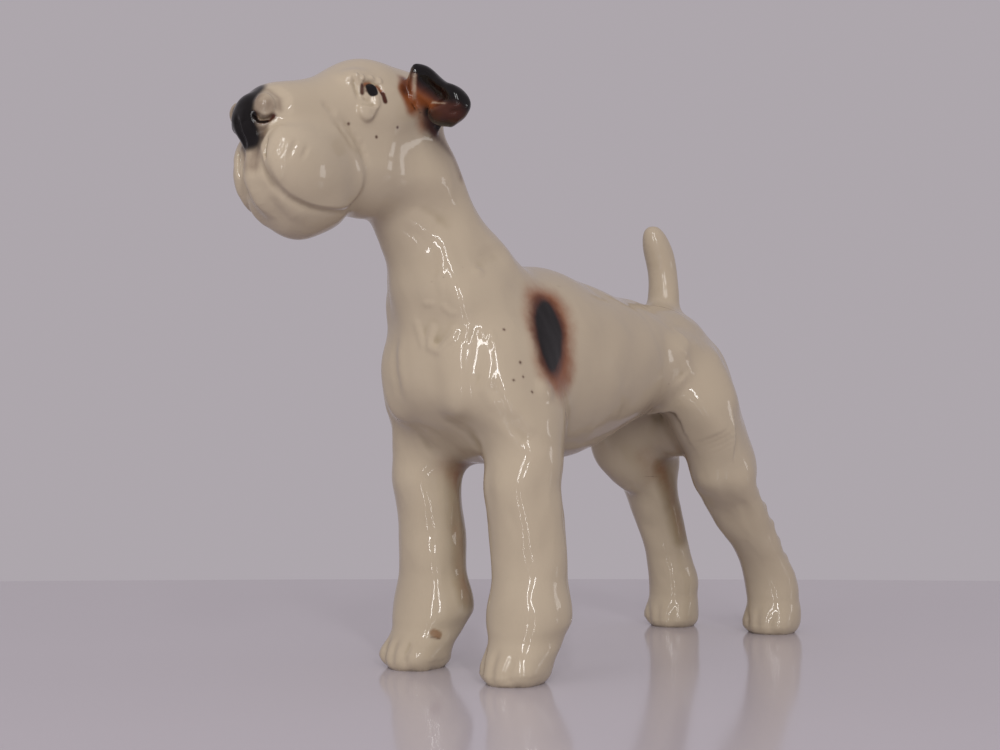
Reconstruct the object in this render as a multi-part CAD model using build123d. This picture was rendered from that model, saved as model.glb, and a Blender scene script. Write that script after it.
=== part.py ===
"""A standing wire-haired terrier in glazed earthenware, hollow cast in nine pieces.

The trunk, the head with its neck and the four legs are hollow castings that butt together on flat seams,
where slip joins them before firing. The tail and the two ears are pressed solid and set on the castings.
The dog faces -X, its left side is -Y, and its soles stand on Z = 0. Lengths are in millimetres.

While the forms are drawn, a place along the dog is its distance "forward" of the middle of its stance.
Each form is a list of ovals, (forward, side, up, half width, half depth, lean), from one end to the other.
At the end the whole dog slides along X, so that the origin is in the middle of its length.
"""

import os
from math import cos, radians, sin

from build123d import *

# ---- Walls and holes ----
WALL = 3.2  # thickness that the slip leaves on the mould
SOLE_THICKNESS = 18.0  # the paws are solid up to here
SOLE_ROUNDING = 2.0
VENT_RADIUS = 2.5  # lets the gases of the firing out of the hollow

# ---- Trunk ----
WITHERS_HEIGHT = 126.0  # top of the shoulders
CROUP_HEIGHT = 118.5  # top of the rump, at the tail
SHOULDER_FORWARD = 66.0  # forelegs ahead of the middle of the stance
HIP_BACK = 34.0  # hip joints behind it
CHEST_DEPTH = 62.0
CHEST_HALF_WIDTH = 25.0
BREAST_LENGTH = 26.0  # breast bone ahead of the forelegs
BELLY_HALF_WIDTH = 23.0
BELLY_DEPTH = 51.0
LOIN_DEPTH = 38.5
LOIN_HALF_WIDTH = 20.0
LOIN_AHEAD = 16.0  # middle of the loin ahead of the hips
RUMP_LENGTH = 21.0  # buttocks behind the hips
SHOULDER_SWELL = 8.0  # how much longer the shoulder blade is than the foreleg below it
THIGH_SWELL = 7.0

# ---- Legs ----
ELBOW_HEIGHT = 58.0  # seam between the trunk and each foreleg
KNEE_HEIGHT = 58.0  # seam between the trunk and each hind leg
FORE_TRACK = 40.0  # between the centres of the two fore paws
HIND_TRACK = 39.0
FORE_LEG_RADIUS = 10.8
HIND_LEG_RADIUS = 11.4
HOCK_RADIUS = 8.6
PAW_HALF_LENGTH = 12.5
PAW_HALF_WIDTH = 10.5
LEFT_HEEL_BACK = 74.0  # the hind feet stand staggered
RIGHT_HEEL_BACK = 66.5
LEFT_KNEE_BACK = 42.0
RIGHT_KNEE_BACK = 50.0

# ---- Neck and head ----
NECK_LEAN = 57.0  # degrees above straight ahead
NECK_SEAM_AHEAD = 14.0  # ahead of the forelegs
NECK_SEAM_DROP = 6.0  # below the withers
NECK_LENGTH = 36.0
NECK_ROOT = 36.0  # how far the neck runs down inside the shoulders
NECK_FLARE = 5.0  # how much its half width gains there
NECK_ROOT_SWELL = 6.5  # and its half depth
NECK_SWAY = 0.8  # the seam bows this far ahead of the neck's straight axis
NECK_HALF_DEPTH = 19.8
NECK_HALF_WIDTH = 15.5
THROAT_HALF_DEPTH = 14.0
THROAT_HALF_WIDTH = 13.0
SKULL_AHEAD = 7.5  # centre of the skull from the top of the neck
SKULL_ABOVE = 7.0
BACK_OF_SKULL = 19.0  # behind that centre
FACE_LENGTH = 47.5  # from that centre to the tip of the nose
HEAD_DROOP = 15.0  # degrees that the face points below level
SKULL_HALF_HEIGHT = 15.5
SKULL_HALF_WIDTH = 15.0
MUZZLE_HALF_HEIGHT = 10.5
MUZZLE_HALF_WIDTH = 10.5
NOSE_RADIUS = 6.4
JAW_AHEAD = 6.5  # middle of the jaw from the centre of the skull
JAW_DROP = 14.6  # below the axis of the face there
JAW_HALF_LENGTH = 13.0
JAW_HALF_HEIGHT = 10.8
JAW_HALF_WIDTH = 12.0
BEARD_BACK = 19.3  # middle of the beard behind the tip of the nose
BEARD_DEPTH = 31.2
BEARD_HALF_LENGTH = 15.6
BEARD_HALF_WIDTH = 12.0

# ---- Ears and tail ----
EAR_REACH = 23.0  # from the root inside the skull's wall to the tip
EAR_HALF_WIDTH = 10.0
EAR_HALF_THICKNESS = 3.8
EAR_TILT = 50.0  # degrees that the root of the ear falls towards the neck
TAIL_SETBACK = 0.2  # behind the hips
TAIL_LENGTH = 31.5
TAIL_RADIUS = 5.2
TAIL_TIP_RADIUS = 3.6
TAIL_CURL = 7.0  # the tip leans this far forward of the root


def oval(forward, side, up, half_width, half_depth, lean=90.0):
    """An oval face across the form. Its normal leans up from straight ahead: 0 stands, 90 lies level."""
    normal = (-cos(radians(lean)), 0, sin(radians(lean)))
    plane = Plane(origin=(-forward, side, up), x_dir=(0, 1, 0), z_dir=normal)
    return (plane * Ellipse(half_width, half_depth)).face()


def form(stations, inset=0.0):
    """A solid drawn smoothly through a list of ovals, each made smaller by the inset."""
    return loft([oval(f, s, u, w - inset, d - inset, *lean) for f, s, u, w, d, *lean in stations])


def between(low, high, share):
    return low + (high - low) * share


# ---- Trunk ----
def barrel():
    """Ovals of the breast, ribs, loin and rump."""
    f, h, chest, croup = SHOULDER_FORWARD, HIP_BACK, WITHERS_HEIGHT - CHEST_DEPTH / 2, CROUP_HEIGHT
    return [
        (f + BREAST_LENGTH, 0, chest - 6, 4, 6, 0),
        (f + BREAST_LENGTH * 0.9, 0, chest - 5, 10.5, 14, 0),
        (f + BREAST_LENGTH * 0.62, 0, chest - 4, 17, 21, 0),
        (f, 0, chest - 4, CHEST_HALF_WIDTH - 2, CHEST_DEPTH / 2 - 2, 0),
        (f - 28, 0, chest - 2, CHEST_HALF_WIDTH, CHEST_DEPTH / 2, 0),
        belly_oval(),
        (-h + LOIN_AHEAD, 0, croup + 1 - LOIN_DEPTH / 2, LOIN_HALF_WIDTH, LOIN_DEPTH / 2, 0),
        (-h - RUMP_LENGTH * 0.25, 0, croup + 2 - LOIN_DEPTH / 2, LOIN_HALF_WIDTH - 2, LOIN_DEPTH / 2 - 3, 0),
        (-h - RUMP_LENGTH * 0.75, 0, croup - 22, 13, 13, 0),
        (-h - RUMP_LENGTH, 0, croup - 23, 6, 7, 0),
    ]


def belly_oval():
    up = between(CROUP_HEIGHT, WITHERS_HEIGHT, 0.3) - BELLY_DEPTH / 2
    return (between(-HIP_BACK, SHOULDER_FORWARD, 0.42), 0, up, BELLY_HALF_WIDTH, BELLY_DEPTH / 2, 0)


def shoulder(side):
    """Ovals from the foreleg's seam up the shoulder blade.

    Each row: share of the height from elbow to withers, how far ahead of the leg, how far in towards the
    spine, and how much wider and longer than the leg.
    """
    y, f, r = side * FORE_TRACK / 2, SHOULDER_FORWARD, FORE_LEG_RADIUS
    rows = [(0, 1, 0, 0, 0), (0.19, 1, 1, 0.5, 3), (0.41, 2, 3.5, 1, SHOULDER_SWELL)]
    rows += [(0.62, 0, 7, 0.5, SHOULDER_SWELL), (0.82, -5, 11, -3, 1)]
    return [
        (f + ahead, y - side * inward, between(ELBOW_HEIGHT, WITHERS_HEIGHT, share), r + wider, r + longer)
        for share, ahead, inward, wider, longer in rows
    ]


def haunch(side, knee_back):
    """Ovals from the hind leg's seam up the thigh.

    Each row: share of the height from knee to croup, share of the way from the knee forward to the hip, how
    far in towards the spine, and how much wider and longer than the leg.
    """
    y, r = side * HIND_TRACK / 2, HIND_LEG_RADIUS
    rows = [(0, 0, 0, 0, 0), (0.22, 0.45, 1.5, 0.5, 5.2), (0.45, 1, 4, 0.5, THIGH_SWELL)]
    rows += [(0.66, 1, 7.5, 0, THIGH_SWELL - 1), (0.84, 0.9, 11, -4, 0)]
    return [
        (
            between(-knee_back, -HIP_BACK, share_forward),
            y - side * inward,
            between(KNEE_HEIGHT, CROUP_HEIGHT, share),
            r + wider,
            r + longer,
        )
        for share, share_forward, inward, wider, longer in rows
    ]


def neck_station(along, half_width, half_depth, ahead=0.0):
    """An oval of the neck, that far up its axis from the seam, and a little ahead of that axis."""
    forward = SHOULDER_FORWARD + NECK_SEAM_AHEAD + ahead + along * cos(radians(NECK_LEAN))
    up = WITHERS_HEIGHT - NECK_SEAM_DROP + along * sin(radians(NECK_LEAN))
    return (forward, 0, up, half_width, half_depth, NECK_LEAN)


def neck_root():
    """Ovals from inside the shoulders up to the seam of the neck."""
    width, depth = NECK_HALF_WIDTH, NECK_HALF_DEPTH
    return [
        neck_station(-NECK_ROOT, width + NECK_FLARE, depth + NECK_ROOT_SWELL),
        neck_station(-NECK_ROOT / 2, width + 0.6 * NECK_FLARE, depth + 0.7 * NECK_ROOT_SWELL),
        neck_station(0, width, depth, NECK_SWAY),
    ]


def trunk_parts(inset):
    """The forms that make the trunk, or those of its hollow."""
    parts = [form(neck_root(), inset)]
    parts += [form(shoulder(side), inset) for side in (-1, 1)]
    return parts + [form(haunch(-1, LEFT_KNEE_BACK), inset), form(haunch(1, RIGHT_KNEE_BACK), inset)]


def trunk_skin():
    """The whole outside of the trunk, with no hollow."""
    return form(barrel()) + trunk_parts(0)


def trunk_hollow():
    """The space that the slip leaves, open to the neck and the legs, and a vent down through the belly."""
    forward, _, up, _, half_depth, _ = belly_oval()
    vent = Pos(-forward, 0, up - half_depth) * Cylinder(VENT_RADIUS, 6 * WALL)
    return form(barrel()[2:-1], WALL) + trunk_parts(WALL) + vent


# ---- Head and neck ----
def neck():
    return [
        neck_station(0, NECK_HALF_WIDTH, NECK_HALF_DEPTH, NECK_SWAY),
        neck_station(NECK_LENGTH / 2, THROAT_HALF_WIDTH + 0.5, THROAT_HALF_DEPTH + 1.2),
        neck_station(NECK_LENGTH, THROAT_HALF_WIDTH, THROAT_HALF_DEPTH),
        neck_station(NECK_LENGTH + 10, THROAT_HALF_WIDTH - 4, THROAT_HALF_DEPTH - 6),
    ]


def on_head(along, above=0.0):
    """The (forward, up) of a place ahead of the centre of the skull, and above the axis of the face."""
    top_forward, _, top_up, *_ = neck_station(NECK_LENGTH, 1, 1)
    droop = radians(HEAD_DROOP)
    forward = top_forward + SKULL_AHEAD + along * cos(droop) + above * sin(droop)
    return forward, top_up + SKULL_ABOVE - along * sin(droop) + above * cos(droop)


def face_station(along, half_width, half_height):
    forward, up = on_head(along)
    return (forward, 0, up, half_width, half_height, -HEAD_DROOP)


def skull_and_muzzle():
    return [
        face_station(-BACK_OF_SKULL, 6, 6),
        face_station(-BACK_OF_SKULL + 5, SKULL_HALF_WIDTH - 3, SKULL_HALF_HEIGHT - 4),
        face_station(0, SKULL_HALF_WIDTH, SKULL_HALF_HEIGHT),
        face_station(FACE_LENGTH * 0.28, SKULL_HALF_WIDTH - 1.5, SKULL_HALF_HEIGHT - 1.5),
        face_station(FACE_LENGTH * 0.55, MUZZLE_HALF_WIDTH, MUZZLE_HALF_HEIGHT),
        face_station(FACE_LENGTH * 0.82, MUZZLE_HALF_WIDTH - 1.5, MUZZLE_HALF_HEIGHT - 1.5),
        face_station(FACE_LENGTH - NOSE_RADIUS * 0.6, NOSE_RADIUS, NOSE_RADIUS),
        face_station(FACE_LENGTH, NOSE_RADIUS * 0.6, NOSE_RADIUS * 0.6),
    ]


def beard():
    """Level ovals of the square beard that hangs from the muzzle."""
    forward, up = on_head(FACE_LENGTH - BEARD_BACK)
    length, width, deep = BEARD_HALF_LENGTH, BEARD_HALF_WIDTH, BEARD_DEPTH
    return [
        (forward - 2, 0, up + 1, width - 1.5, length - 0.5),
        (forward - 1, 0, up - deep * 0.28, width, length),
        (forward, 0, up - deep * 0.55, width, length),
        (forward - 0.8, 0, up - deep * 0.8, width - 2, length - 2.6),
        (forward - 0.6, 0, up - deep * 0.94, width - 6, length - 8.2),
        (forward - 1, 0, up - deep, width - 9.5, length - 12.4),
    ]


def jaw():
    """Upright ovals of the jaw, from inside the beard to the throat."""
    forward, up = on_head(JAW_AHEAD)
    rows = [(1, -1.5, 2.5, 2.4), (0.4, -0.3, 0.4, 0.3), (-0.4, 0, 0, 0), (-1, -1, 2, 1.8)]
    return [
        (
            forward + JAW_HALF_LENGTH * share,
            0,
            up - JAW_DROP + rise,
            JAW_HALF_WIDTH - narrower,
            JAW_HALF_HEIGHT - lower,
            0,
        )
        for share, rise, narrower, lower in rows
    ]


def head_skin():
    return form(neck()) + form(skull_and_muzzle()) + form(jaw()) + form(beard())


def head_hollow():
    parts = form(neck(), WALL) + form(skull_and_muzzle()[1:-3], WALL)
    return parts + form(jaw(), WALL) + form(beard()[1:-2], WALL)


def ear(side):
    """The folded ear, from its root inside the skull's wall out to the tip.

    Each row: share of the reach, how far behind and above the root, half width along the fold, and half
    thickness.
    """
    forward, up = on_head(-3.5, 1.5)
    along = (cos(radians(EAR_TILT)), 0, -sin(radians(EAR_TILT)))
    root = SKULL_HALF_WIDTH - 8
    rows = [
        (0, 3.5, -5, EAR_HALF_WIDTH - 3, EAR_HALF_THICKNESS),
        (0.25, 3, -2, EAR_HALF_WIDTH - 1.6, EAR_HALF_THICKNESS),
        (0.45, 2.2, 1.4, EAR_HALF_WIDTH - 1, EAR_HALF_THICKNESS),
        (0.72, 2.6, -0.8, EAR_HALF_WIDTH * 0.66, EAR_HALF_THICKNESS * 0.95),
        (0.92, 2.2, -2.8, EAR_HALF_WIDTH * 0.4, EAR_HALF_THICKNESS * 0.8),
        (1.0, 2, -3.6, EAR_HALF_WIDTH * 0.2, EAR_HALF_THICKNESS * 0.45),
    ]
    faces = []
    for share, back, rise, half_width, half_thick in rows:
        place = (-forward + back, side * (root + EAR_REACH * share), up + rise)
        plane = Plane(origin=place, x_dir=along, z_dir=(0, side, 0))
        faces.append((plane * Ellipse(half_width, half_thick)).face())
    return loft(faces)


# ---- Legs and tail ----
def fore_leg(side):
    """Ovals from the sole up to the elbow.

    Each row: share of the height from the top of the paw to the elbow, how far ahead of the elbow, and how
    much wider and longer than the elbow.
    """
    y, f, r = side * FORE_TRACK / 2, SHOULDER_FORWARD, FORE_LEG_RADIUS
    rows = [(0, -1, 0.8, 1), (0.25, -1, -0.2, 0), (0.5, -1, -0.6, -0.3), (0.75, 0, -0.4, -0.3), (1, 1, 0, 0)]
    paw = [(f + 4, y, 0, PAW_HALF_WIDTH, PAW_HALF_LENGTH)]
    paw += [(f + 3, y, SOLE_THICKNESS * 0.45, PAW_HALF_WIDTH - 0.3, PAW_HALF_LENGTH - 1)]
    return paw + [
        (f + ahead, y, between(SOLE_THICKNESS, ELBOW_HEIGHT, share), r + wider, r + longer)
        for share, ahead, wider, longer in rows
    ]


def hind_leg(side, heel_back, knee_back):
    """Ovals from the sole over the hock up to the knee.

    Each row: share of the height from the top of the paw to the knee, share of the way from the heel forward
    to the knee, and share of the thickening from the hock to the knee.
    """
    y, r, hock = side * HIND_TRACK / 2, HIND_LEG_RADIUS, HOCK_RADIUS
    rows = [(0, 0, 0.2), (0.25, 0.2, 0), (0.5, 0.45, 0.1), (0.75, 0.72, 0.5), (1, 1, 1)]
    stations = [(-heel_back, y, 0, PAW_HALF_WIDTH + 0.2, PAW_HALF_LENGTH - 0.8)]
    stations += [(-heel_back, y, SOLE_THICKNESS * 0.5, PAW_HALF_WIDTH - 0.8, PAW_HALF_LENGTH - 2)]
    for share, share_forward, thickening in rows:
        forward = between(-heel_back, -knee_back, share_forward)
        up = between(SOLE_THICKNESS, KNEE_HEIGHT, share)
        radius = between(hock, r, thickening)
        stations.append((forward, y, up, radius, between(radius, r, 0.3)))
    return stations


def hollow_leg(stations):
    """A leg cast hollow down to its solid paw, with the edge of its sole rounded."""
    leg = form(stations)
    sole = leg.faces().sort_by(Axis.Z)[0]
    leg = fillet(sole.edges(), SOLE_ROUNDING)
    return leg - form([s for s in stations if s[2] >= SOLE_THICKNESS], WALL)


def tail():
    """Round stations up the tail, which starts inside the trunk's wall.

    Each row: share of the length, share of the curl, radius and lean.
    """
    root, tip, middle = TAIL_RADIUS, TAIL_TIP_RADIUS, between(TAIL_TIP_RADIUS, TAIL_RADIUS, 0.7)
    rows = [(-0.19, 0, root, 90), (0.3, 0.05, root, 86), (0.65, 0.35, middle, 76)]
    rows += [(0.94, 0.9, tip, 68), (1, 1, tip / 2, 68)]
    return form([
        (TAIL_CURL * curl - HIP_BACK - TAIL_SETBACK, 0, CROUP_HEIGHT + TAIL_LENGTH * share, r, r, lean)
        for share, curl, r, lean in rows
    ])


def main():
    body, face = trunk_skin(), head_skin()
    pieces = {
        "trunk": body - trunk_hollow(),
        "head_and_neck": face - head_hollow(),
        "tail": tail() - body,
        "left_hindleg": hollow_leg(hind_leg(-1, LEFT_HEEL_BACK, LEFT_KNEE_BACK)),
        "right_hindleg": hollow_leg(hind_leg(1, RIGHT_HEEL_BACK, RIGHT_KNEE_BACK)),
    }
    for name, side in (("left", -1), ("right", 1)):
        pieces[name + "_ear"] = ear(side) - face
        pieces[name + "_foreleg"] = hollow_leg(fore_leg(side))
    boxes = [piece.bounding_box() for piece in pieces.values()]
    middle = (min(b.min.X for b in boxes) + max(b.max.X for b in boxes)) / 2
    print("the middle of the length lies at X =", round(middle, 3))
    os.makedirs("parts", exist_ok=True)
    for name, piece in pieces.items():
        export_step(Pos(-middle, 0, 0) * piece, os.path.join("parts", name + ".step"))


main()
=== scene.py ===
import math

import bmesh
import bpy
import numpy as np
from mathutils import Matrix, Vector, noise
from mathutils.kdtree import KDTree


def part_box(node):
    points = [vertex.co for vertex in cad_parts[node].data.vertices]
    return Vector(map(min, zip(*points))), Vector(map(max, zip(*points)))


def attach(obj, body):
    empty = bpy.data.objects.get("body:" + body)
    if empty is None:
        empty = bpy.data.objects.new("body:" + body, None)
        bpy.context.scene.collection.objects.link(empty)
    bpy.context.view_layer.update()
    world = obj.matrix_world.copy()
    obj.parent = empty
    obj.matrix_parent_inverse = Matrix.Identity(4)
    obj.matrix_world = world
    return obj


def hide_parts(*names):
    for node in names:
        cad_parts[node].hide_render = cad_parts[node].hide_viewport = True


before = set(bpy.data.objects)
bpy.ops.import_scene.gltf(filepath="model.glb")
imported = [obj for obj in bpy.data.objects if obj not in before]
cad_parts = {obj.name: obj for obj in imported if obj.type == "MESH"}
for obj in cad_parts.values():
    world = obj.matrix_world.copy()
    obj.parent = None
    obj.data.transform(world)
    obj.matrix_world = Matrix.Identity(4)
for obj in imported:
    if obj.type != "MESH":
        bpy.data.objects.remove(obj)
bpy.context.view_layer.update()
MM = 0.001

# %% [markdown]
# ## Places on the dog
# A sculptor measures from landmarks. On the head they are the tip of the nose and the top of the skull, on
# the body the front of the breast and the floor. The helpers turn such millimetres into points. The dog
# faces -X and its left side is -Y.
# %% Landmarks
HEAD_LOW, HEAD_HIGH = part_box("head_and_neck")
TRUNK_LOW, TRUNK_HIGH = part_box("trunk")


def head(back, side, down):
    """That far behind the tip of the nose, to the dog's right, and below the top of the skull, in mm."""
    return Vector((HEAD_LOW.x + back * MM, side * MM, HEAD_HIGH.z - down * MM))


def body(back, side, up):
    """That far behind the front of the breast, to the dog's right, and above the floor, in mm."""
    return Vector((TRUNK_LOW.x + back * MM, side * MM, up * MM))


def heads(spots):
    """Several places on the head, as a line."""
    return [head(*spot) for spot in spots]


def bodies(spots):
    """Several places on the body, as a line."""
    return [body(*spot) for spot in spots]


def sole(node):
    """The middle of a paw's sole."""
    low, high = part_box(node)
    toes = [v.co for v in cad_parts[node].data.vertices if v.co.z < 1 * MM]
    front, back = min(c.x for c in toes), max(c.x for c in toes)
    return Vector(((front + back) / 2, (low.y + high.y) / 2, 0))


LEGS = ("left_foreleg", "right_foreleg", "left_hindleg", "right_hindleg")
SOLES = {node: sole(node) for node in LEGS}
SIDES = (-1, 1)
print("soles:", {node: tuple(round(v / MM) for v in place) for node, place in SOLES.items()})

# %% [markdown]
# ## Selecting nothing first
# An operator works on whatever is selected, and a fresh import leaves the castings selected. Each new form
# is therefore made after everything is deselected.
# %% Helpers for objects


def deselect_all():
    bpy.ops.object.select_all(action="DESELECT")


def pick(*objects):
    """Selects these objects only and makes the last one active."""
    deselect_all()
    for thing in objects:
        thing.select_set(True)
        bpy.context.view_layer.objects.active = thing


def ball(place, half_lengths, turn=0.0, tip=0.0, roll=0.0):
    """An egg of clay: a sphere stretched to three half lengths in mm, turned about Y, Z and X in degrees."""
    deselect_all()
    bpy.ops.mesh.primitive_uv_sphere_add(segments=48, ring_count=32, radius=MM, location=place)
    egg = bpy.context.object
    egg.scale = half_lengths
    egg.rotation_euler = (math.radians(roll), math.radians(turn), math.radians(tip))
    bpy.ops.object.transform_apply(location=True, rotation=True, scale=True)
    return egg


def both_sides(back, side, down, half_lengths, turn=0.0, tip=0.0, roll=0.0, place=head):
    """The same egg on the left and, mirrored, on the right."""
    return [
        ball(place(back, hand * side, down), half_lengths, turn, -hand * tip, -hand * roll) for hand in SIDES
    ]


# %% [markdown]
# ## One lump of clay
# The castings are closed shells that touch on flat seams. Copies of them are joined with a few eggs of clay
# where the muscles run over the joins, and a voxel remesh makes one skin of everything. Metaballs would
# also merge by themselves, but they swell where they meet, and a boolean union would keep every join sharp.
# This first lump is coarse, because a wide soft fillet is quickly wiped into large facets.
# %% Copy the castings


def copy_of(node):
    """A copy of a casting, with the loose corners of its triangles merged."""
    copy = bpy.data.objects.new("clay_" + node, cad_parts[node].data.copy())
    bpy.context.scene.collection.objects.link(copy)
    pick(copy)
    bpy.ops.object.mode_set(mode="EDIT")
    bpy.ops.mesh.select_all(action="SELECT")
    bpy.ops.mesh.remove_doubles(threshold=0.01 * MM)
    bpy.ops.object.mode_set(mode="OBJECT")
    return copy


EARS = ("left_ear", "right_ear")
lump = [copy_of(node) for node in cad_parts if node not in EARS]

# %% Muscles over the joins
lump.append(ball(body(89.6, 0, 72), (5, 5, 2.4)))  # closes the vent, so that the outer skin is one surface
lump += both_sides(22, 10, 107, (17, 10, 15), turn=-25, place=body)  # neck into shoulder
lump += both_sides(12, 10.5, 88, (8, 8, 15), place=body)  # breast into shoulder
lump += both_sides(30, 17, 84, (15, 9, 17), turn=-10, place=body)  # shoulder into ribs
lump.append(ball(body(126.5, 18.5, 65.5), (8, 7.5, 19), turn=-45))  # fold in front of the right thigh
lump.append(ball(body(139, 0, 75), (11, 12, 10)))  # between the thighs

# %% Merge


def merge(parts, name, voxel):
    """One skin around all the parts, with any inner shell dropped."""
    pick(*parts)
    bpy.ops.object.join()
    lump = bpy.context.object
    lump.data.remesh_voxel_size = voxel
    lump.data.use_remesh_preserve_volume = False
    bpy.ops.object.voxel_remesh()
    shells = islands(lump)
    outer = max(shells, key=lambda shell: len(shell.data.vertices))
    for shell in shells:
        if shell is not outer:
            bpy.data.objects.remove(shell)
    outer.name = outer.data.name = name
    print(name, "has", len(outer.data.vertices), "points; inner shells dropped:", len(shells) - 1)
    return outer


def islands(thing):
    """Splits an object into its loose parts."""
    pick(thing)
    bpy.ops.object.mode_set(mode="EDIT")
    bpy.ops.mesh.select_all(action="SELECT")
    bpy.ops.mesh.separate(type="LOOSE")
    bpy.ops.object.mode_set(mode="OBJECT")
    return list(bpy.context.selected_objects)


rough = merge(lump, "rough", 1.3 * MM)

# %% [markdown]
# ## Wiping the joins
# A potter runs a wet finger along each join until it is a soft hollow. The smooth modifier would thin the
# legs and the tail as well, so here only the points that lie in a hollow move, each towards the middle of
# its neighbours. Every round widens the fillet a little. The head, the throat and the groin get fewer
# rounds, to stay crisper.
# %% Read and write the points of a skin


class Skin:
    """The points of a mesh as arrays in mm, with their neighbours and normals."""

    def __init__(self, mesh_object):
        self.mesh = mesh_object.data
        self.count = len(self.mesh.vertices)
        edges = np.empty(len(self.mesh.edges) * 2, np.int32)
        self.mesh.edges.foreach_get("vertices", edges)
        self.one, self.other = edges.reshape(-1, 2).T
        self.valence = np.bincount(edges, minlength=self.count).astype(float)
        self.co = np.empty(self.count * 3)
        self.mesh.vertices.foreach_get("co", self.co)
        self.co = self.co.reshape(-1, 3) / MM
        self.write()

    def write(self):
        self.mesh.vertices.foreach_set("co", (self.co * MM).ravel())
        self.mesh.update()
        self.normal = np.empty(self.count * 3)
        self.mesh.vertex_normals.foreach_get("vector", self.normal)
        self.normal = self.normal.reshape(-1, 3)

    def mean(self, values):
        """The mean over each point's neighbours."""
        total = [
            np.bincount(self.one, values[self.other, k], self.count)
            + np.bincount(self.other, values[self.one, k], self.count)
            for k in range(values.shape[1])
        ]
        return np.stack(total, axis=1) / self.valence[:, None]

    def settle(self):
        """Writes the points and plants the tree that finds those near a place."""
        self.write()
        self.tree = KDTree(self.count)
        for number, place in enumerate(self.co):
            self.tree.insert(place, number)
        self.tree.balance()


def even_out(surface, rounds, share, where=1.0):
    """Plain smoothing, which takes off the steps of the voxels. where is 1 on the points that it works on."""
    for _ in range(rounds):
        surface.co += (surface.mean(surface.co) - surface.co) * (share * np.reshape(where, (-1, 1)))
    surface.write()


def wipe(surface, rounds, limit):
    """Fills hollows. limit is each point's own number of rounds, so that some stay crisp."""
    for number in range(rounds):
        pull = surface.mean(surface.co) - surface.co
        hollow = ((pull * surface.normal).sum(1) > 0) & (number < limit)
        surface.co[hollow] += pull[hollow] * 0.8
        if number % 8 == 7:
            surface.write()
    surface.write()


# %% Wipe the rough lump
WIPES, CHEEK_WIPES, GROIN_WIPES, HEAD_WIPES = 110, 60, 45, 16
rough_skin = Skin(rough)


def within(surface, low, high):
    """Which points lie between two corners."""
    return ((surface.co > np.array(low) / MM) & (surface.co < np.array(high) / MM)).all(1)


on_head = within(rough_skin, head(-20, -50, 62), head(50, 50, -20))
even_out(rough_skin, 4, 0.5)
on_cheek = within(rough_skin, head(28, -50, 42), head(300, 50, 18)) & (np.abs(rough_skin.co[:, 1]) > 5)
in_groin = within(rough_skin, body(91, -40, 66), body(121, 6, 92))
head_rounds = np.where(on_cheek, CHEEK_WIPES, HEAD_WIPES)
wipe(rough_skin, WIPES, np.where(on_head, head_rounds, np.where(in_groin, GROIN_WIPES, WIPES)))

# %% [markdown]
# ## Pushing the lump into shape
# Castings from a worn mould come out a little fat here and lean there, and the maker presses them true with
# a thumb while they are soft. So each push names a place, how far the thumb reaches and where it moves the
# clay. A lattice would do this too, but it would bend the whole dog at once. A swelling moves each point
# along its own normal, which makes a round form thicker all round.
# %% Tools for pushing


def far_off(surface, place, reach):
    """0 at a place and 1 where its reach ends, which is given in mm for each axis."""
    away = (surface.co - np.array(place) / MM) / np.array(reach)
    return (away**2).sum(1)


def grab(surface, place, reach, move):
    """Moves the clay round a place by some mm, fading out towards the end of its reach."""
    surface.co += (np.clip(1 - far_off(surface, place, reach), 0, 1) ** 2)[:, None] * np.array(move)


def swell(surface, place, reach, height):
    """The same, but each point moves along its own normal."""
    surface.co += (np.clip(1 - far_off(surface, place, reach), 0, 1) ** 2)[:, None] * surface.normal * height


def calm(surface, place, reach, rounds):
    """Smooths round a place only."""
    even_out(surface, rounds, 0.5, np.clip(1.6 - 1.6 * far_off(surface, place, reach), 0, 1))


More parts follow.
